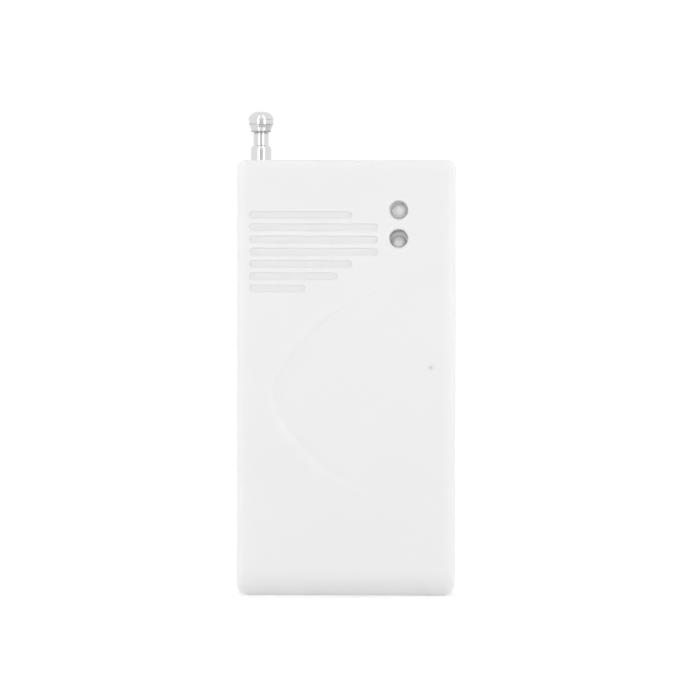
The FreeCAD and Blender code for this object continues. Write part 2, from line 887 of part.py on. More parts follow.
# Circuit board with a lower strip and an ear for the antenna's lug
def circuit_board():
    body = new_body("circuit_board")
    outline = sketch(body, "board_outline", "XZ_Plane", -board_front)
    draw(outline, (
        (board_left, board_top),
        (board_left, ear_top),
        (ear_left, ear_top),
        (ear_left, lug_bottom),
        (board_left, lug_bottom),
        (board_left, board_bottom),
        (strip_right, board_bottom),
        (strip_right, board_step),
        (board_right, board_step),
        (board_right, board_top),
    ))
    pad(body, outline, s.board_thickness, turned=True)
    small = sketch(body, "small_holes", "XZ_Plane", -board_front)
    small_size = s.small_screw_diameter + 2 * s.screw_hole_fit
    draw_circles(small, small_size, (*post_places, lug_screw_place))
    pocket(body, small, s.board_thickness)
    large = sketch(body, "boss_holes", "XZ_Plane", -board_front)
    large_size = s.screw_diameter + 2 * s.boss_wall + 2 * s.board_hole_fit
    pocket(body, draw_circles(large, large_size, boss_places), s.board_thickness)
    lead_places = [(x + side * s.lead_spread, z) for x, z in led_places for side in (-1, 1)]
    tiny = sketch(body, "lead_holes", "XZ_Plane", -board_front)
    draw_circles(tiny, 1.5 * s.lead_width + 2 * s.thread_fit, lead_places)
    pocket(body, tiny, s.board_thickness)
    return keep(body)


# Sealed round battery with a positive nub on top
def battery():
    can_top = s.battery_length - s.battery_nub
    edge = s.battery_edge
    body = turned_body("battery", (
        (0, 0),
        (battery_radius - edge, 0, edge),
        (battery_radius, edge),
        (battery_radius, can_top - edge, edge),
        (battery_radius - edge, can_top),
        (s.battery_nub_diameter / 2, can_top),
        (s.battery_nub_diameter / 2, s.battery_length),
        (0, s.battery_length),
    ))
    return keep(place(body, battery_x, battery_y, battery_bottom))


# Bent strip contacts and the cone spring under the battery
def battery_contacts():
    thick = s.contact_thickness
    half = s.contact_width / 2
    plus_leg = box("plus_leg", battery_x - half, board_back, battery_top,
                   s.contact_width, thick, 2.6 * s.board_split)
    plus_foot = box("plus_foot", battery_x - half, board_back, battery_top,
                    s.contact_width, battery_radius, thick)
    keep(group("positive_contact", [plus_leg, plus_foot], "Part::MultiFuse"))

    minus_left = strip_right - s.contact_width / 2
    minus_foot = box("minus_foot", minus_left, battery_y - half, inner_bottom,
                     battery_x + half - minus_left, s.contact_width, thick)
    minus_leg = box("minus_leg", minus_left, board_back, inner_bottom,
                    s.contact_width / 2 - s.strip_gap, thick, s.contact_width / 2)
    keep(group("negative_contact", [minus_foot, minus_leg], "Part::MultiFuse"))

    # Wire wound as a cone, one strand above the other
    coil = doc.addObject("Part::Helix", "spring_path")
    rise = s.spring_height - s.spring_wire
    bind(coil, "Radius", s.spring_foot / 2)
    bind(coil, "Height", rise)
    bind(coil, "Pitch", rise / s.spring_turns)
    bind(coil, "Angle", steepness((s.spring_tip - s.spring_foot) / 2, rise))
    wire = doc.addObject("Part::Circle", "spring_wire_section")
    bind(wire, "Radius", s.spring_wire / 2)
    wire.Placement.Rotation = Rotation(Vector(1, 0, 0), 90)
    bind(wire, "Placement.Base.x", s.spring_foot / 2)
    spring = doc.addObject("Part::Sweep", "battery_spring")
    spring.Sections = [wire]
    spring.Spine = (coil, [])
    spring.Solid = True
    spring.Frenet = True
    spring_level = inner_bottom + thick + s.spring_wire / 2
    keep(place(spring, battery_x, battery_y, spring_level))


# Round lamp in clear resin, on its flange, round a lead frame of its own
def lamp(name, spot):
    length = post_height - s.lamp_gap
    radius = s.lens_diameter / 2
    flange = radius + s.flange_rim
    leg = s.lead_width
    leg_length = s.lead_root + s.anvil_top
    anvil = s.anvil_size
    wedge = s.wedge_size
    lens = turned_body(f"{name}_resin", (
        (0, 0),
        (flange, 0),
        (flange, s.flange_height),
        (radius, s.flange_height),
        (radius, length - radius * 0.96, radius),
        (radius * 0.04, length),
        (0, length),
    ))
    stem = box(f"{name}_stem", -s.lead_spread - leg / 2, -leg / 2, -s.lead_root, leg, leg, leg_length)
    post = box(f"{name}_post", s.lead_spread - leg / 2, -leg / 2, -s.lead_root, leg, leg, leg_length)
    cup = box(f"{name}_cup", -s.lead_spread - leg / 2, -anvil / 2, s.anvil_top - anvil,
              1.5 * anvil, anvil, anvil)
    tip = box(f"{name}_tip", s.lead_spread - 0.8 * leg, -wedge / 2, s.anvil_top - wedge,
              1.2 * wedge, wedge, wedge)
    leads = group(f"{name}_leads", [
        group(f"{name}_cathode", [stem, cup], "Part::MultiFuse"),
        group(f"{name}_anode", [post, tip], "Part::MultiFuse"),
    ])
    keep(stand(leads, *spot))
    core = group(f"{name}_core", [stem, cup, post, tip], "Part::MultiFuse")
    keep(stand(cut(f"{name}_lens", lens, core), *spot))


# Antenna: a fixed tube in the case, two drawn sections, a rod and a knob
def on_antenna(item, level):
    return keep(place(item, antenna_x, antenna_y, level))


def antenna_tube(label, outer, bore, length, neck, shoulder=None):
    """A drawn tube whose head is crimped in to hold the next section."""
    waist = length - s.crimp_length
    head = ((outer / 2, length),)
    if shoulder:
        run = (outer - neck) / 2 - s.slide_fit
        radius = (run * run + shoulder * shoulder) / (2 * run)
        head = ((outer / 2, length - shoulder, radius), (outer / 2 - run, length))
    return turned_body(label, (
        (bore / 2, 0),
        (outer / 2, 0),
        *head,
        (neck / 2, length),
        (neck / 2, waist),
        (bore / 2, waist),
    ))


def antenna_bush(label, guide_bore, tube_bore):
    """A plug in the foot of a section, with a flange that runs in the tube around it."""
    flange = guide_bore / 2 - s.slide_fit
    return turned_body(label, (
        (0, 0),
        (flange, 0),
        (flange, s.bush_flange),
        (tube_bore / 2, s.bush_flange),
        (tube_bore / 2, s.bush_flange + s.bush_shank),
        (0, s.bush_flange + s.bush_shank),
    ))


def antenna():
    fit = 2 * s.slide_fit
    lower_top = top + s.lower_tube_stands
    upper_top = lower_top + s.upper_tube_stands
    knob_bottom = upper_top + s.knob_gap
    lower_foot = case_tube_bottom + s.plug_length + s.stop_gap
    upper_foot = lower_foot + s.bush_flange + s.bush_shank + s.stop_gap
    rod_foot = upper_foot + s.bush_flange + s.bush_shank + s.stop_gap

    case_tube = antenna_tube("antenna_case_tube", case_tube_outer, case_tube_bore,
                             case_tube_length, lower_tube_outer + fit)
    on_antenna(case_tube, case_tube_bottom)

    lower_bottom = lower_foot + s.bush_flange
    lower = antenna_tube("antenna_lower_section", lower_tube_outer, lower_tube_bore,
                         lower_top - lower_bottom, upper_tube_outer + fit,
                         s.lower_tube_shoulder)
    on_antenna(lower, lower_bottom)
    lower_bush = antenna_bush("antenna_lower_bush", case_tube_bore, lower_tube_bore)
    on_antenna(lower_bush, lower_foot)

    upper_bottom = upper_foot + s.bush_flange
    upper = antenna_tube("antenna_upper_section", upper_tube_outer, upper_tube_bore,
                         upper_top - upper_bottom, s.rod_diameter + fit)
    on_antenna(upper, upper_bottom)
    upper_bush = antenna_bush("antenna_upper_bush", lower_tube_bore, upper_tube_bore)
    on_antenna(upper_bush, upper_foot)

    rod = turned_body("antenna_rod", (
        (0, 0),
        (s.rod_end / 2, 0),
        (s.rod_end / 2, s.bush_flange),
        (s.rod_diameter / 2, s.bush_flange),
        (s.rod_diameter / 2, knob_bottom + s.knob_bore_depth - rod_foot),
        (0, knob_bottom + s.knob_bore_depth - rod_foot),
    ))
    on_antenna(rod, rod_foot)
    flange = upper_tube_bore / 2 - s.slide_fit
    rod_bush = turned_body("antenna_rod_bush", (
        (s.rod_end / 2, 0),
        (flange, 0),
        (flange, s.bush_flange),
        (s.rod_end / 2, s.bush_flange),
    ))
    on_antenna(rod_bush, rod_foot)

    band_foot = s.knob_taper + s.knob_cone
    knob = turned_body("antenna_knob", (
        (s.rod_diameter / 2, 0),
        (s.knob_foot / 2, 0),
        (s.knob_neck / 2, s.knob_taper),
        (s.knob_band / 2, band_foot),
        (s.knob_band / 2, band_foot + s.knob_band_height),
        (s.knob_diameter / 2, band_foot + s.knob_band_height + s.knob_lip, s.knob_dome),
        (s.knob_flat / 2, s.knob_height),
        (0, s.knob_height),
        (0, s.knob_bore_depth),
        (s.rod_diameter / 2, s.knob_bore_depth),
    ))
    on_antenna(knob, knob_bottom)


# Plug in the foot of the case tube, flattened below into a lug for its screw
def antenna_lug():
    body = new_body("antenna_base_lug")
    half = case_tube_outer / 2
    round_end = 0.45 * case_tube_outer
    tongue = sketch(body, "lug_tongue", "XZ_Plane", -antenna_y)
    draw(tongue, (
        (antenna_x - half + round_end, lug_bottom),
        (antenna_x + half - round_end, lug_bottom, round_end),
        (antenna_x + half, lug_bottom + round_end),
        (antenna_x + half, case_tube_bottom),
        (antenna_x - half, case_tube_bottom),
        (antenna_x - half, lug_bottom + round_end, round_end),
    ))
    pad(body, tongue, s.lug_thickness, midplane=True)
    plug = sketch(body, "lug_plug", "XY_Plane", case_tube_bottom)
    draw_circles(plug, case_tube_bore, ((antenna_x, antenna_y),))
    pad(body, plug, s.plug_length)
    hole = sketch(body, "lug_hole", "XZ_Plane", -antenna_y)
    draw_circles(hole, s.small_screw_diameter + 2 * s.screw_hole_fit, (lug_screw_place,))
    pocket(body, hole, 2 * s.lug_thickness, midplane=True)
    keep(body)


# Pan head screws with a cross recess, heads towards the wall
def screw(label, diameter, length, head, head_height, spot, level):
    radius = diameter / 2
    head_radius = head / 2
    body = turned_body(label, (
        (0, -length),
        (radius, -length),
        (radius, 0),
        (head_radius, 0),
        (head_radius, 0.45 * head_height, 0.67 * head_radius),
        (0.45 * head_radius, head_height),
        (0, head_height),
    ))
    half = s.cross_width / 2
    arm = 0.55 * head_radius
    cross = sketch(body, f"{label}_cross", "XY_Plane", head_height)
    draw(cross, (
        (-arm, -half), (-half, -half), (-half, -arm), (half, -arm), (half, -half), (arm, -half),
        (arm, half), (half, half), (half, arm), (-half, arm), (-half, half), (-arm, half),
    ))
    pocket(body, cross, s.cross_depth)
    body.Placement.Rotation = Rotation(Vector(1, 0, 0), -90)
    return place(body, spot[0], level, spot[1])


def screws():
    case_set = [
        screw(f"case_screw_{number}", s.screw_diameter, s.screw_length, s.screw_head,
              s.screw_head_height, spot, -s.recess_depth)
        for number, spot in enumerate(boss_places, start=1)
    ]
    keep(group("case_screws", case_set))
    small = (s.small_screw_diameter, small_screw_length, s.small_screw_head,
             s.small_screw_head_height)
    board_set = [
        screw(f"board_screw_{number}", *small, spot, board_back)
        for number, spot in enumerate(post_places, start=1)
    ]
    keep(group("board_screws", board_set))
    keep(screw("antenna_screw", *small, lug_screw_place, board_back + s.lug_thickness))


# Encoder in a flat package with nine legs a side, on the back face of the board
def encoder_chip():
    width = s.chip_length
    height = s.chip_width
    x = board_middle - s.chip_shift - width / 2
    z = board_level - height / 2
    body_y = board_back + s.leg_drop
    pieces = [box("chip_body", x, body_y, z, width, s.chip_thickness, height)]
    pitch = width / s.chip_legs
    for index in range(int(s.chip_legs.number)):
        leg_x = x + (index + 0.5) * pitch - s.leg_width / 2
        for side, foot_z in (("low", z - s.leg_reach), ("high", z + height)):
            name = f"chip_leg_{side}_{index + 1}"
            pieces.append(box(name, leg_x, board_back, foot_z, s.leg_width,
                              s.leg_drop + s.chip_thickness / 2, s.leg_reach))
    keep(group("encoder_chip", pieces, "Part::MultiFuse"))


# Header with three rows of pins that set the sensor's code, and its push-on bridges
def code_header():
    pitch = s.pin_pitch
    rows = int(s.header_rows.number)
    middle_x = (board_left + strip_right) / 2
    foot_z = ear_top - s.header_sink
    jumper_foot = board_back + s.header_height
    jumper_top = -(frame_depth + s.jumper_frame_gap)

    def pins(name):
        return group(name, [
            box(f"{name}_{column + 2}_{row + 1}",
                middle_x + column * pitch - s.pin_width / 2, board_back,
                foot_z + (row + 0.5) * pitch - s.pin_width / 2,
                s.pin_width, jumper_top - s.pin_top_gap - board_back, s.pin_width)
            for row in range(rows) for column in (-1, 0, 1)
        ])

    keep(pins("code_header_pins"))
    base = box("header_block", middle_x - 1.5 * pitch, board_back, foot_z,
               3 * pitch, s.header_height, rows * pitch)
    keep(cut("code_header_base", base, pins("header_pin_holes")))
    settings = (-1, 0, -1, -1, 0, -1, 0, 0)
    caps = []
    for row, setting in enumerate(settings[:rows]):
        caps.append(box(f"jumper_{row + 1}", middle_x + (setting - 0.5) * pitch + s.jumper_gap,
                        jumper_foot, foot_z + row * pitch + s.jumper_gap,
                        2 * pitch - 2 * s.jumper_gap, jumper_top - jumper_foot,
                        pitch - 2 * s.jumper_gap))
    keep(cut("code_jumpers", group("jumper_blocks", caps), pins("jumper_pin_holes")))


# Round and wired parts of the radio stage, on the front face of the board
def radio_parts():
    brim = s.can_diameter / 2 + s.can_brim
    can = turned_body("saw_resonator", (
        (0, 0),
        (brim, 0),
        (brim, s.can_rim),
        (s.can_diameter / 2, s.can_rim),
        (s.can_diameter / 2, s.can_height - s.can_round, s.can_round),
        (s.can_diameter / 2 - s.can_round, s.can_height),
        (0, s.can_height),
    ))
    keep(stand(can, board_left + s.can_inset, board_level))

    transistor = new_body("rf_transistor")
    radius = s.transistor_width / 2
    outline = sketch(transistor, "transistor_outline", "XY_Plane", s.transistor_gap)
    chord = 0.8 * radius
    flat = 0.6 * radius
    draw(outline, ((-chord, -flat), (chord, -flat), (chord, flat, radius), (-chord, flat)))
    part_height = post_height - s.front_part_gap
    pad(transistor, outline, part_height - s.transistor_gap)
    legs = sketch(transistor, "transistor_legs", "XY_Plane")
    half = s.lead_width / 2
    for column in (-1, 0, 1):
        middle = column * s.transistor_leg_pitch
        draw_box(legs, middle - half, -half, middle + half, half)
    pad(transistor, legs, s.transistor_gap)
    keep(stand(transistor, board_right - s.transistor_inset, led_places[1][1]))

    edge = s.electrolytic_diameter / 2
    bead = s.electrolytic_bead
    electrolytic = turned_body("smoothing_capacitor", (
        (0, 0),
        (edge, 0),
        (edge, 3 * bead),
        (edge - bead, 4 * bead),
        (edge, 5 * bead),
        (edge, part_height - bead, bead),
        (edge - bead, part_height),
        (0, part_height),
    ))
    capacitor_x = board_right - s.electrolytic_inset
    level = board_step + s.electrolytic_rise
    keep(stand(electrolytic, capacitor_x, level))

    # Axial choke on two bent legs
    axis_gap = s.choke_diameter / 2 + s.choke_lift
    span = s.choke_length + 2 * s.choke_shoulder
    middle_x = capacitor_x - edge - s.choke_gap - (span + s.lead_wire) / 2
    barrel = wire_along("choke_barrel", s.choke_diameter, s.choke_length, middle_x, axis_gap, level)
    wire = wire_along("choke_wire", s.lead_wire, span, middle_x, axis_gap, level)
    legs = [
        stand(cylinder(f"choke_leg_{name}", s.lead_wire, axis_gap), middle_x + side, level)
        for name, side in (("left", -span / 2), ("right", span / 2))
    ]
    keep(group("rf_choke", [barrel, wire, *legs], "Part::MultiFuse"))


def wire_along(label, diameter, length, x, height, z):
    """A round bar along X at a height over the front face of the board."""
    item = cylinder(label, diameter, length)
    item.Placement.Rotation = Rotation(Vector(0, 1, 0), 90)
    return place(item, x - length / 2, board_front - height, z)


# Small chips on the back face of the board
def chip_row(label, count, inset, level, pitch, thickness):
    keep(group(label, [
        box(f"{label}_{index + 1}", board_left + inset + index * pitch, board_back,
            level, s.chip_part_width, thickness, s.chip_part_length)
        for index in range(count)
    ]))


# Reed switch along the edge that faces the magnet, on two bent leads
def reed_switch():
    length = s.reed_length
    radius = s.reed_diameter / 2
    neck = s.lead_wire / 2
    x = board_right - s.reed_inset
    z = board_level + s.reed_shift - length / 2
    gap = s.reed_gap + radius
    glass = turned_body("reed_capsule", (
        (0, 0),
        (neck, 0),
        (radius, s.reed_taper),
        (radius, length - s.reed_taper),
        (neck, length),
        (0, length),
    ))
    keep(place(glass, x, board_back + gap, z))
    leads = []
    for name, start in (("low", z - s.reed_lead), ("high", z + length)):
        run = cylinder(f"reed_run_{name}", s.lead_wire, s.reed_lead)
        place(run, x, board_back + gap, start)
        foot = cylinder(f"reed_foot_{name}", s.lead_wire, gap + neck)
        end = start + s.lead_wire / 2 if name == "low" else start + s.reed_lead - s.lead_wire / 2
        stand(foot, x, end, behind=True)
        leads.append(group(f"reed_lead_{name}", [run, foot], "Part::MultiFuse"))
    keep(group("reed_leads", leads))


front_cover()
back_cover()
battery_door()
circuit_board()
battery()
battery_contacts()
for lamp_name, led_place in zip(("upper_lamp", "lower_lamp"), led_places):
    lamp(lamp_name, led_place)
antenna()
antenna_lug()
screws()
encoder_chip()
code_header()
radio_parts()
chip_row("chip_resistors", 6, s.resistor_inset, board_step + s.resistor_rise,
         s.resistor_pitch, s.resistor_thickness)
chip_row("ceramic_capacitors", 4, s.capacitor_inset, board_top - s.capacitor_drop,
         s.capacitor_pitch, s.capacitor_thickness)
reed_switch()
doc.recompute()

for item in doc.Objects:
    if any(state in ("Invalid", "Error") for state in item.State):
        raise SystemExit(f"{item.Label} failed: {item.State}")
for item in PARTS:
    if item.Shape.isNull() or not item.Shape.isValid():
        raise SystemExit(f"{item.Label} has no valid shape")

os.makedirs("parts", exist_ok=True)
for item in PARTS:
    item.Shape.exportStep(f"parts/{item.Label}.step")
    bounds = item.Shape.BoundBox
    print(f"{item.Label:24s} solids {len(item.Shape.Solids):2d} volume {item.Shape.Volume:10.3f}"
          f"  x {bounds.XMin:7.2f} {bounds.XMax:7.2f}  y {bounds.YMin:7.2f} {bounds.YMax:7.2f}"
          f"  z {bounds.ZMin:7.2f} {bounds.ZMax:7.2f}")
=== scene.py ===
# Door sensor on a pale floor in soft studio light, seen straight from the front.

import json
import math

import bmesh
import bpy
from mathutils import Matrix, Vector

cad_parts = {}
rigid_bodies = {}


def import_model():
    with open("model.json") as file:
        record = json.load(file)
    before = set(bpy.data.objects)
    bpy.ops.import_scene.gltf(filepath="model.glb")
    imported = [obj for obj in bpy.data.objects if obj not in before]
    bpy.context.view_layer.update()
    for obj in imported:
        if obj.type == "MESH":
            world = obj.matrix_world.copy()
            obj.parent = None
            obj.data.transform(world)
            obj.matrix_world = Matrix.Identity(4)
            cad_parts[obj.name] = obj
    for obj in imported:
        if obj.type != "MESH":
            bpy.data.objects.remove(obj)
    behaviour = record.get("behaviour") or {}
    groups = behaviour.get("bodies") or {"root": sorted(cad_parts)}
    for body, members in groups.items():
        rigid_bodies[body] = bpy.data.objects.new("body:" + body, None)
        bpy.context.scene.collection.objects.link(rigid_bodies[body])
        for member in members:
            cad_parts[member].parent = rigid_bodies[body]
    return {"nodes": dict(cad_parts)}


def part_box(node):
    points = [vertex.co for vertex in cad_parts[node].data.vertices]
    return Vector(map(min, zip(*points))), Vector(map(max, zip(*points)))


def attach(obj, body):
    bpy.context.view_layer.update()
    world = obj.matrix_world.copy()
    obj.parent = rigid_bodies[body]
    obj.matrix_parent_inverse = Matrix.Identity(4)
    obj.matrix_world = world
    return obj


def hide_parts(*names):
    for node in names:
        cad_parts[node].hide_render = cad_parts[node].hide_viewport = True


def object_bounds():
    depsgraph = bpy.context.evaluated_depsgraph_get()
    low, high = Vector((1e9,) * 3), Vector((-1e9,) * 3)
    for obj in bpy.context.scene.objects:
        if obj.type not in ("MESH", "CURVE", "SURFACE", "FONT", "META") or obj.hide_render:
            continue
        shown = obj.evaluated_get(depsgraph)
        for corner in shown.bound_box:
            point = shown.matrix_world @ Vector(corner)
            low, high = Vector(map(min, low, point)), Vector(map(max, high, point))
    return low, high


for leftover in list(bpy.data.objects):
    bpy.data.objects.remove(leftover)
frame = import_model()
cad_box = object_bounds()
MM = 0.001


def tone(level):
    """The linear value of a grey that shows as this level, 0 to 255."""
    share = level / 255
    return ((share + 0.055) / 1.055) ** 2.4 if share > 0.04045 else share / 12.92


def grey(level):
    return (tone(level),) * 3


def linked(name, data):
    """A new object with this data, in the scene."""
    item = bpy.data.objects.new(name, data)
    bpy.context.scene.collection.objects.link(item)
    return item


# Materials

# The gloss varies on a finer scale than the colour does, by this factor
GLOSS_FINENESS = 7
BEVEL_SAMPLES = 8


class Graph:
    """Short calls for the nodes of one material or world."""

    def __init__(self, owner):
        owner.use_nodes = True
        self.tree = owner.node_tree
        self.shader = self.tree.nodes.get("Principled BSDF")

    def add(self, kind, inputs=None, **settings):
        node = self.tree.nodes.new(f"ShaderNode{kind}")
        for key, value in settings.items():
            setattr(node, key, value)
        for key, value in (inputs or {}).items():
            if isinstance(value, bpy.types.NodeSocket):
                self.tree.links.new(value, node.inputs[key])
            else:
                node.inputs[key].default_value = value
        return node

    def math(self, operation, first, second=0.0):
        node = self.add("Math", {0: first, 1: second}, operation=operation)
        return node.outputs[0]

    def place(self):
        return self.add("TexCoord").outputs["Object"]

    def noise(self, scale, stretch=(1, 1, 1), detail=2.0):
        """Noise with this many features a metre, drawn out where a stretch is under 1."""
        mapped = self.add("Mapping", {"Vector": self.place(), "Scale": stretch})
        inputs = {"Vector": mapped.outputs[0], "Scale": scale, "Detail": detail}
        return self.add("TexNoise", inputs).outputs["Fac"]

    def ranged(self, value, low, high, from_low=0.3, from_high=0.7, smooth=False):
        inputs = {"Value": value, "From Min": from_low, "From Max": from_high,
                  "To Min": low, "To Max": high}
        kind = "SMOOTHSTEP" if smooth else "LINEAR"
        return self.add("MapRange", inputs, interpolation_type=kind).outputs["Result"]

    def blend(self, share, first, second, mode="MIX"):
        node = self.add("Mix", data_type="RGBA", blend_type=mode)
        for index, value in ((0, share), (6, first), (7, second)):
            if isinstance(value, bpy.types.NodeSocket):
                self.tree.links.new(value, node.inputs[index])
            else:
                node.inputs[index].default_value = value
        return node.outputs[2]

    def height(self):
        """Height in the object's own frame."""
        return self.add("SeparateXYZ", {0: self.place()}).outputs["Z"]

    def band(self, height, half):
        """1 at this height in metres, falling to 0 at half a band away."""
        away = self.math("ABSOLUTE", self.math("SUBTRACT", self.height(), height))
        return self.ranged(away, 1.0, 0.0, 0.0, half, smooth=True)


def finish(name, colour, roughness, metallic=0.0, grain=2500, stretch=(1, 1, 1), depth=2e-6,
           cloud=90, cloud_share=0.02, rough_spread=0.05, edge=0.0, painted_shade_rings=(), shades=(),
           **sockets):
    """A surface with cloudy colour, uneven gloss and a fine grain.

    Rings of painted shade go round at given heights, and shades are places that a function picks
    out and paints darker."""
    material = bpy.data.materials.new(name)
    graph = Graph(material)
    low = (*(value * (1 - cloud_share) for value in colour), 1)
    high = (*(min(value * (1 + cloud_share), 1) for value in colour), 1)
    cloudy = graph.ranged(graph.noise(cloud), 0, 1)
    paint = graph.blend(cloudy, low, high)
    # Rings of painted shade: darker bands round the part at given heights
    for height, half, dark in painted_shade_rings:
        paint = graph.blend(graph.band(height, half), paint, (dark, dark, dark, 1), "MULTIPLY")
    for share, dark in shades:
        paint = graph.blend(share(graph), paint, (dark, dark, dark, 1), "MULTIPLY")
    graph.tree.links.new(paint, graph.shader.inputs["Base Color"])
    uneven = graph.noise(cloud * GLOSS_FINENESS, stretch)
    gloss = graph.ranged(uneven, roughness - rough_spread, roughness + rough_spread)
    graph.tree.links.new(gloss, graph.shader.inputs["Roughness"])
    graph.shader.inputs["Metallic"].default_value = metallic
    bump = {"Height": graph.noise(grain, stretch), "Distance": depth, "Strength": 1.0}
    if edge:
        bevel = graph.add("Bevel", {"Radius": edge}, samples=BEVEL_SAMPLES)
        bump["Normal"] = bevel.outputs[0]
    normal = graph.add("Bump", bump).outputs[0]
    graph.tree.links.new(normal, graph.shader.inputs["Normal"])
    for key, value in sockets.items():
        graph.shader.inputs[key.replace("_", " ")].default_value = value
    return material


COVER_LOW, COVER_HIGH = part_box("front_cover")
FRONT = COVER_LOW.y
GATE_MARK = (COVER_HIGH.x - 4.05 * MM, FRONT, COVER_HIGH.z - 33.75 * MM)
GATE_INNER = 0.1 * MM
GATE_OUTER = 0.85 * MM
FIRST_GROOVE = COVER_HIGH.z - 8.98 * MM
GROOVE_PITCH = 1.99 * MM
# The painted shade on a floor is even up to the first of these distances from its middle line,
# and ends at the second
FLOOR_INNER = 0.25 * MM
FLOOR_OUTER = 0.62 * MM
# The painted shade starts, is full and ends at these depths under the face, where the grooves'
# floors lie
FLOOR_STARTS = 0.1 * MM
FLOOR_FULL = 0.25 * MM
FLOOR_ENDS = 0.5 * MM
# The grooves lie in this area, above the slanted edge of the dish
GROOVES_LEFT = -16.5 * MM
GROOVES_RIGHT = 6 * MM
GROOVES_TOP = 28 * MM
DISH_EDGE = 15 * MM
DISH_SLOPE = 0.5


def painted_groove_shade(graph):
    """Painted shade in the seven grooves: 1 along the middle of their floors, 0 at their walls
    and elsewhere.
    """
    place = graph.add("SeparateXYZ", {0: graph.place()}).outputs
    below_first = graph.math("SUBTRACT", place["Z"], FIRST_GROOVE)
    off_middle = graph.math("PINGPONG", below_first, GROOVE_PITCH / 2)
    across = graph.ranged(off_middle, 1, 0, FLOOR_INNER, FLOOR_OUTER, smooth=True)
    deep = graph.ranged(place["Y"], 0, 1, FRONT + FLOOR_STARTS, FRONT + FLOOR_FULL)
    share = graph.math("MULTIPLY", across, deep)
    slant = graph.math("MULTIPLY", place["X"], DISH_SLOPE)
    over_dish = graph.math("SUBTRACT", place["Z"], slant)
    for operation, value, limit in (("GREATER_THAN", over_dish, DISH_EDGE),
                                    ("LESS_THAN", place["Z"], GROOVES_TOP),
                                    ("GREATER_THAN", place["X"], GROOVES_LEFT),
                                    ("LESS_THAN", place["X"], GROOVES_RIGHT),
                                    ("LESS_THAN", place["Y"], FRONT + FLOOR_ENDS)):
        share = graph.math("MULTIPLY", share, graph.math(operation, value, limit))
    return share


def gate_darkening(graph):
    """1 at the gate mark, where the colour is painted darker, falling softly to 0 round it."""
    inputs = {0: graph.place(), 1: GATE_MARK}
    away = graph.add("VectorMath", inputs, operation="DISTANCE").outputs["Value"]
    return graph.ranged(away, 1, 0, GATE_INNER, GATE_OUTER, smooth=True)


PLATE = (0.70, 0.70, 0.70)
# Stretches of the grain: along an upright tube, round a turned part, up and down a thin strip
ALONG = (1, 1, 0.04)
AROUND = (0.3, 0.3, 6)
DRAWN = (1, 0.1, 1)
# Light spreads evenly in all colours inside the plastics
SOFT = (1.0, 1.0, 1.0)
# Painted shade: the grooves' floors are painted this much darker
GROOVE_PAINTED_SHADE = 0.98
# The gate mark is painted this much darker
GATE_SHADE = 0.93
# Height, half width and shade of the rings of painted shade where two plated parts meet, and on
# the knob
COLLAR_PAINTED_SHADE = (40.15 * MM, 0.3 * MM, 0.45)
KNOB_PAINTED_SHADES = ((41.52 * MM, 0.16 * MM, 0.72), (40.3 * MM, 0.25 * MM, 0.45))

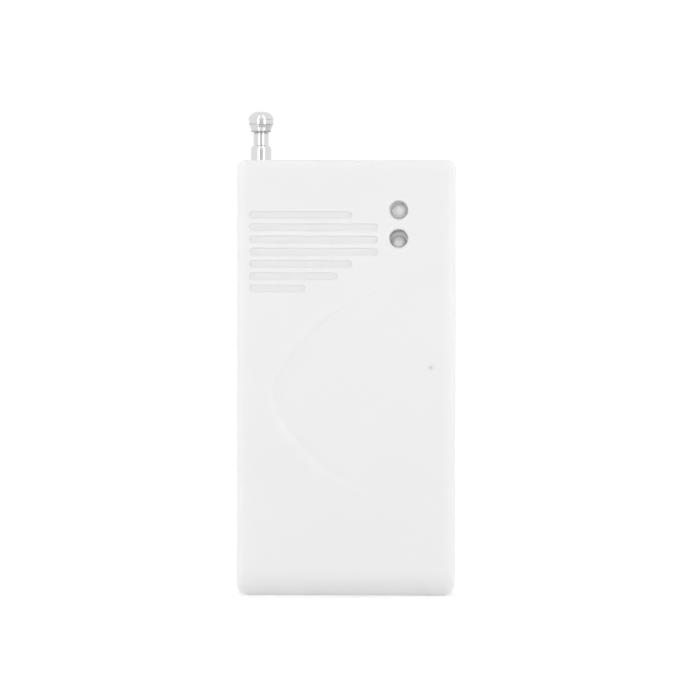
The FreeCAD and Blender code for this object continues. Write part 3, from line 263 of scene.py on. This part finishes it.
MATERIALS = {
    "case_white": finish("case_white", grey(236), 0.42, grain=3200, depth=1.2e-6,
                         cloud=45, cloud_share=0.006, edge=0.04 * MM,
                         # Painted shade on the grooves' floors, and a darker gate mark
                         shades=((painted_groove_shade, GROOVE_PAINTED_SHADE), (gate_darkening, GATE_SHADE)),
                         Subsurface_Weight=1.0, Subsurface_Radius=SOFT,
                         Subsurface_Scale=1.0 * MM),
    "door_white": finish("door_white", grey(234), 0.45, grain=3000, depth=1.5e-6,
                         cloud=55, cloud_share=0.008, edge=0.15 * MM,
                         Subsurface_Weight=1.0, Subsurface_Radius=SOFT,
                         Subsurface_Scale=0.5 * MM),
    "antenna_plating": finish("antenna_plating", PLATE, 0.07, 1.0, 6000, ALONG, 2e-7,
                              300, 0.02, 0.02, 0.05 * MM, painted_shade_rings=(COLLAR_PAINTED_SHADE,)),
    "knob_plating": finish("knob_plating", PLATE, 0.07, 1.0, 5000, AROUND, 2e-7,
                           400, 0.02, 0.02, 0.15 * MM, painted_shade_rings=KNOB_PAINTED_SHADES),
    "brass_bush": finish("brass_bush", (0.72, 0.52, 0.24), 0.28, 1.0, 5000, AROUND, 4e-7),
    "screw_steel": finish("screw_steel", (0.56, 0.56, 0.55), 0.26, 1.0, 5000, AROUND, 5e-7,
                          edge=0.06 * MM),
    "contact_steel": finish("contact_steel", (0.62, 0.61, 0.58), 0.22, 1.0, 4500, DRAWN,
                            4e-7, edge=0.05 * MM),
    "board_green": finish("board_green", (0.03, 0.16, 0.07), 0.32, grain=2400, depth=1.5e-6,
                          cloud=250, cloud_share=0.18),
    "battery_wrap": finish("battery_wrap", (0.10, 0.13, 0.22), 0.30, grain=700, depth=1e-6,
                           cloud=120, cloud_share=0.05),
    "lamp_resin": finish("lamp_resin", (0.97, 0.97, 0.97), 0.08, grain=700, depth=4e-7,
                         cloud=200, cloud_share=0.01, rough_spread=0.03,
                         Transmission_Weight=0.1, IOR=1.6, Specular_IOR_Level=1.0,
                         Subsurface_Weight=1.0, Subsurface_Radius=SOFT,
                         Subsurface_Scale=0.12 * MM),
    "lead_metal": finish("lead_metal", (0.80, 0.80, 0.78), 0.34, 1.0, 5000, ALONG, 4e-7,
                         edge=0.03 * MM),
    "black_epoxy": finish("black_epoxy", (0.02, 0.02, 0.022), 0.5, grain=7000, depth=3e-6,
                          cloud=400, cloud_share=0.15, edge=0.06 * MM),
    "can_metal": finish("can_metal", (0.60, 0.58, 0.52), 0.25, 1.0, 4500, AROUND, 5e-7),
    "choke_coat": finish("choke_coat", (0.16, 0.32, 0.22), 0.35, grain=1800, depth=2e-6,
                         cloud=300, cloud_share=0.1),
    "capacitor_sleeve": finish("capacitor_sleeve", (0.03, 0.035, 0.06), 0.28, grain=1500,
                               depth=1.5e-6, cloud=300, cloud_share=0.1),
    "chip_ceramic": finish("chip_ceramic", (0.035, 0.035, 0.04), 0.3, grain=6000, depth=2e-6,
                           cloud=600, cloud_share=0.2, edge=0.05 * MM),
    "capacitor_ceramic": finish("capacitor_ceramic", (0.42, 0.29, 0.17), 0.38, grain=6000,
                                depth=2e-6, cloud=600, cloud_share=0.1, edge=0.06 * MM),
    "header_black": finish("header_black", (0.018, 0.018, 0.018), 0.42, grain=5000, depth=2e-6,
                           cloud=500, cloud_share=0.15, edge=0.07 * MM),
    "pin_brass": finish("pin_brass", (0.80, 0.62, 0.28), 0.2, 1.0, 6000, DRAWN, 3e-7),
    "reed_glass": finish("reed_glass", (0.88, 0.93, 0.90), 0.04, grain=600, depth=6e-7,
                         cloud=300, cloud_share=0.02, rough_spread=0.02,
                         Transmission_Weight=0.9, IOR=1.5),
}

for node in frame["nodes"].values():
    for entry in node.material_slots:
        entry.material = MATERIALS[entry.material.name.split(".")[0]]


# Pieces of this file's own

SHARP_ANGLE = math.radians(32)


def piece(name, mesh, slot, body, replaced=()):
    """An object of this mesh that rides on a body and takes the finish of its slot."""
    item = linked(name, mesh)
    mesh.materials.append(MATERIALS[slot])
    mesh.shade_smooth()
    mesh.set_sharp_from_angle(angle=SHARP_ANGLE)
    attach(item, body)
    if replaced:
        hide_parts(*replaced)


def turned(form, profile, matrix, count=72):
    """Turn a profile of radius and height pairs round the axis.

    It begins and ends on the axis, or it ends where it began."""
    rings = []
    for radius, height in profile:
        if radius == 0:
            rings.append([form.verts.new(matrix @ Vector((0, 0, height)))])
            continue
        angles = [2 * math.pi * step / count for step in range(count)]
        rings.append([
            form.verts.new(matrix @ Vector((radius * math.cos(a), radius * math.sin(a), height)))
            for a in angles
        ])
    for low, high in zip(rings, rings[1:]):
        for step in range(count):
            after = (step + 1) % count
            corners = [low[step % len(low)], low[after % len(low)],
                       high[after % len(high)], high[step % len(high)]]
            corners = list(dict.fromkeys(corners))
            if len(corners) > 2:
                form.faces.new(corners)


def prism(form, outline, low, high, matrix):
    """Extrude an outline of across and height pairs from low to high."""
    sides = [[form.verts.new(matrix @ Vector((x, depth, z))) for x, z in outline]
             for depth in (low, high)]
    form.faces.new(sides[0])
    form.faces.new(reversed(sides[1]))
    for index in range(len(outline)):
        after = (index + 1) % len(outline)
        form.faces.new([sides[0][after], sides[0][index], sides[1][index], sides[1][after]])


def meshed(name, form):
    """The mesh of a form, which is used up."""
    bmesh.ops.recalc_face_normals(form, faces=form.faces)
    mesh = bpy.data.meshes.new(name)
    form.to_mesh(mesh)
    form.free()
    return mesh


# Indicator lamps: a clear dome round a post and an anvil, whose cup holds the chip.
# All in millimetres: distances from the lamp's middle, and heights from the board.
BOARD_FRONT = -10.2
LENS_RADIUS = 1.45
LENS_LENGTH = 5.3
DOME_STEPS = 18
DOME_STEP_ANGLE = 5
LENS_FLANGE = [(0, 0.02), (1.8, 0.02), (1.88, 0.1), (1.88, 0.92), (1.8, 1.0),
               (LENS_RADIUS + 0.05, 1.0), (LENS_RADIUS, 1.06)]
ANVIL = [(-1.02, -1.6), (-0.52, -1.6), (-0.52, 1.7), (0.05, 2.15), (0.3, 2.86),
         (-0.72, 2.86), (-1.02, 2.2)]
POST = [(0.52, -1.6), (1.02, -1.6), (1.02, 2.3), (0.9, 2.86), (0.44, 2.86),
        (0.44, 2.45), (0.52, 2.3)]
HALF_SHEET = 0.25
CUP = [(0, 2.3), (0.36, 2.3), (0.5, 2.88), (0.44, 2.9), (0.24, 2.62), (0, 2.62)]
CUP_ACROSS = -0.2
CUP_SIDES = 40
CHIP = [(-0.32, 2.63), (-0.08, 2.63), (-0.08, 2.74), (-0.32, 2.74)]
HALF_CHIP = 0.12
# The white spacer round each lamp reaches up to the cover, or stops short of it
SPACER_HEIGHT = {"upper_lamp": 5.3, "lower_lamp": 4.6}
SPACER_FOOT = 1.05
SPACER_BORE = 1.48
SPACER_MOUTH = 1.53
SPACER_RADIUS = 2.6
SPACER_TOP_RADIUS = 2.5
SPACER_EDGE = 0.05
# Its top slopes down to the dome, which it clears by this gap
SEAT_DEPTH = {"upper_lamp": 0.75, "lower_lamp": 0.3}
SEAT_STEPS = 6
LENS_GAP = 0.004
WELD_DISTANCE = 1e-7


def lamp_pieces(name):
    low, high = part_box(f"{name}_lens")
    middle = (low + high) / 2 / MM
    matrix = (Matrix.Scale(MM, 4) @ Matrix.Translation((middle.x, BOARD_FRONT, middle.z))
              @ Matrix.Rotation(math.radians(90), 4, "X"))
    base = LENS_LENGTH - LENS_RADIUS
    dome = [(LENS_RADIUS * math.cos(a), base + LENS_RADIUS * math.sin(a))
            for a in (math.radians(DOME_STEP_ANGLE * step) for step in range(DOME_STEPS))]
    lens = bmesh.new()
    turned(lens, [*LENS_FLANGE, *dome, (0, LENS_LENGTH)], matrix)
    piece(f"{name}_dome", meshed(f"{name}_dome", lens), "lamp_resin", "case",
          (f"{name}_lens",))

    rim = SPACER_HEIGHT[name]
    seat = rim - SEAT_DEPTH[name]
    round_dome = [(math.sqrt(LENS_RADIUS ** 2 - (height - base) ** 2) + LENS_GAP, height)
                  for height in (seat - (seat - base) * step / SEAT_STEPS
                                 for step in range(SEAT_STEPS + 1))]
    spacer = bmesh.new()
    turned(spacer, ((SPACER_BORE, SPACER_FOOT), (SPACER_RADIUS, SPACER_FOOT),
                    (SPACER_RADIUS, rim - SPACER_EDGE), (SPACER_TOP_RADIUS, rim),
                    (SPACER_MOUTH, rim), *round_dome, (SPACER_BORE, SPACER_FOOT)), matrix)
    bmesh.ops.remove_doubles(spacer, verts=spacer.verts, dist=WELD_DISTANCE)
    piece(f"{name}_spacer", meshed(f"{name}_spacer", spacer), "door_white", "case")

    frame_form = bmesh.new()
    prism(frame_form, ANVIL, -HALF_SHEET, HALF_SHEET, matrix)
    prism(frame_form, POST, -HALF_SHEET, HALF_SHEET, matrix)
    turned(frame_form, CUP, matrix @ Matrix.Translation((CUP_ACROSS, 0, 0)), CUP_SIDES)
    prism(frame_form, CHIP, -HALF_CHIP, HALF_CHIP, matrix)
    piece(f"{name}_frame", meshed(f"{name}_frame", frame_form), "lead_metal", "case",
          (f"{name}_leads",))


for lamp_name in ("upper_lamp", "lower_lamp"):
    lamp_pieces(lamp_name)


# Floor, world and lamps

PURE_WHITE = (1, 1, 1, 1)
# Bearings of the two strips that the plating mirrors, from the camera's side
LEFT_AZIMUTH = -27
RIGHT_AZIMUTH = 34


def seen_directly(graph):
    """1 for the rays that show the background itself: straight, mirrored or through glass."""
    path = graph.add("LightPath").outputs
    seen = graph.math("MAXIMUM", path["Is Camera Ray"], path["Is Glossy Ray"])
    return graph.math("MAXIMUM", seen, path["Is Transmission Ray"])


FLOOR_GREY = 0.88
FLOOR_HALF_WIDTH = 20
# The paper is white in the picture: weakly lifted round the object, where its shadow lies
NEAR_LIFT = 0.25
FAR_LIFT = 0.64
NEAR = 0.06
FAR = 0.4
# Seen in reflections, the floor carries a painted reflection of each strip: a stripe of this
# brightness, with a soft edge
PAINTED_GLARE = 0.8
PAINTED_GLARE_INNER = math.radians(6)
PAINTED_GLARE_OUTER = math.radians(9)
ANTENNA = sum(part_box("antenna_lower_section"), Vector()) / 2
floor_material = bpy.data.materials.new("floor_paper")
floor_graph = Graph(floor_material)
floor_graph.shader.inputs["Base Color"].default_value = (FLOOR_GREY, FLOOR_GREY, FLOOR_GREY, 1)
floor_graph.shader.inputs["Roughness"].default_value = 0.9
floor_graph.shader.inputs["Specular IOR Level"].default_value = 0.1
floor_graph.shader.inputs["Emission Color"].default_value = PURE_WHITE
floor_rays = floor_graph.add("LightPath").outputs
from_object = floor_graph.add("VectorMath", {0: floor_graph.place()}, operation="LENGTH")
lift = floor_graph.ranged(from_object.outputs["Value"], NEAR_LIFT, FAR_LIFT, NEAR, FAR,
                          smooth=True)
floor_graph.tree.links.new(floor_graph.math("MULTIPLY", floor_rays["Is Camera Ray"], lift),
                           floor_graph.shader.inputs["Emission Strength"])

# In reflections the floor is plain white, with a painted reflection of each strip on it as a
# bright stripe, by bearing round the antenna
across = floor_graph.add("SeparateXYZ", {0: floor_graph.place()}).outputs
from_antenna = floor_graph.math("SUBTRACT", across["X"], ANTENNA.x)
to_front = floor_graph.math("SUBTRACT", ANTENNA.y, across["Y"])
bearing = floor_graph.math("ARCTAN2", from_antenna, to_front)
# Painted reflection of the two strips: brighter stripes in the floor's white
painted_glare = 1.0
for azimuth in (LEFT_AZIMUTH, RIGHT_AZIMUTH):
    away = floor_graph.math("SUBTRACT", bearing, math.radians(azimuth))
    away = floor_graph.math("ABSOLUTE", away)
    painted_stripe = floor_graph.ranged(away, PAINTED_GLARE, 0.0, PAINTED_GLARE_INNER, PAINTED_GLARE_OUTER, smooth=True)
    painted_glare = floor_graph.math("ADD", painted_stripe, painted_glare)
white_with_painted_glare = floor_graph.add("Emission", {"Color": PURE_WHITE, "Strength": painted_glare})
seen_in_gloss = floor_graph.math("MAXIMUM", floor_rays["Is Glossy Ray"],
                                 floor_rays["Is Transmission Ray"])
floor_look = floor_graph.add("MixShader", {0: seen_in_gloss, 1: floor_graph.shader.outputs[0],
                                           2: white_with_painted_glare.outputs[0]})
floor_graph.tree.links.new(floor_look.outputs[0],
                           floor_graph.tree.nodes["Material Output"].inputs["Surface"])
floor_form = bmesh.new()
bmesh.ops.create_grid(floor_form, x_segments=1, y_segments=1, size=FLOOR_HALF_WIDTH)
floor = linked("floor", meshed("floor", floor_form))
floor.data.materials.append(floor_material)
floor.location = (0, 0, cad_box[0].z)

AMBIENT = 0.46
# Just over white, so that the picture's outermost pixels stay white as well
BACKDROP = 1.03
# Mirrors show the camera's side a little greyer, the more squarely they face it
CARD_LEVEL = 0.72
CARD_INNER = -0.985
CARD_OUTER = -0.93
world = bpy.data.worlds.new("studio")
bpy.context.scene.world = world
sky = Graph(world)
sky.tree.nodes.clear()
direction = sky.add("SeparateXYZ", {0: sky.add("TexCoord").outputs["Generated"]}).outputs["Y"]
front_card = sky.ranged(direction, CARD_LEVEL, 1.0, CARD_INNER, CARD_OUTER, smooth=True)
plain = sky.add("Background", {"Color": PURE_WHITE, "Strength": AMBIENT})
mirrored = sky.add("LightPath").outputs["Is Glossy Ray"]
mirror_level = sky.math("ADD", sky.math("MULTIPLY", mirrored, front_card),
                        sky.math("SUBTRACT", BACKDROP, mirrored))
white = sky.add("Background", {"Color": PURE_WHITE, "Strength": mirror_level})
either = sky.add("MixShader", {0: seen_directly(sky), 1: plain.outputs[0], 2: white.outputs[0]})
sky.add("OutputWorld", {"Surface": either.outputs[0]})


def softbox(name, azimuth, distance, width, low, high, brightness, mirrored):
    """An upright lamp that faces the object, seen in reflections only or in none at all.

    Azimuth 0 is the camera's side."""
    angle = math.radians(azimuth)
    data = bpy.data.lights.new(name, "AREA")
    data.shape = "RECTANGLE"
    data.size = width
    data.size_y = high - low
    data.energy = brightness * math.pi * width * (high - low)
    lamp = linked(name, data)
    lamp.location = (distance * math.sin(angle), -distance * math.cos(angle), (low + high) / 2)
    inward = Vector((-lamp.location.x, -lamp.location.y, 0))
    lamp.rotation_euler = inward.to_track_quat("-Z", "Y").to_euler()
    lamp.visible_glossy = mirrored
    lamp.visible_diffuse = not mirrored
    lamp.visible_camera = False


# A lamp with this foot starts just above the floor
LAMP_FOOT = -0.034
# Name, azimuth, distance, width, lowest and highest point, brightness, and if it is mirrored
SOFTBOXES = (
    ("strip_left", LEFT_AZIMUTH, 0.6, 0.14, LAMP_FOOT, 1.6, 2.6, True),
    ("strip_right", RIGHT_AZIMUTH, 0.6, 0.14, LAMP_FOOT, 1.6, 2.6, True),
    ("front", 0, 1.2, 0.6, 0.0, 0.66, 4.4, False),
    ("front_left", -50, 0.9, 0.3, LAMP_FOOT, 0.6, 1.4, False),
    ("front_right", 50, 0.9, 0.3, LAMP_FOOT, 0.6, 1.7, False),
    ("side_left", -108, 0.6, 0.3, LAMP_FOOT, 0.5, 2.4, False),
    ("side_right", 108, 0.6, 0.3, LAMP_FOOT, 0.5, 2.5, False),
    ("back", 180, 0.6, 0.6, 0.3, 0.9, 3.1, False),
)
for row in SOFTBOXES:
    softbox(*row)

# Camera: straight on, from far enough to be nearly parallel
VIEW_WIDTH = 0.1139
VIEW_DISTANCE = 0.8
VIEW_TILT = math.radians(0.8)
VIEW_ROLL = math.radians(-0.13)
VIEW_AIM = Vector((0.587, -17.5, 4.58)) * MM
SENSOR_WIDTH = 36
camera_data = bpy.data.cameras.new("camera")
camera_data.sensor_width = SENSOR_WIDTH
camera_data.lens = SENSOR_WIDTH * VIEW_DISTANCE / VIEW_WIDTH
camera_data.clip_start = 0.01
camera_data.clip_end = 60
camera = linked("camera", camera_data)
camera.location = (VIEW_AIM.x, VIEW_AIM.y - VIEW_DISTANCE * math.cos(VIEW_TILT),
                   VIEW_AIM.z + VIEW_DISTANCE * math.sin(VIEW_TILT))
camera.rotation_euler = (math.radians(90) - VIEW_TILT, VIEW_ROLL, 0)
bpy.context.scene.camera = camera
bpy.context.scene.view_settings.view_transform = "Standard"
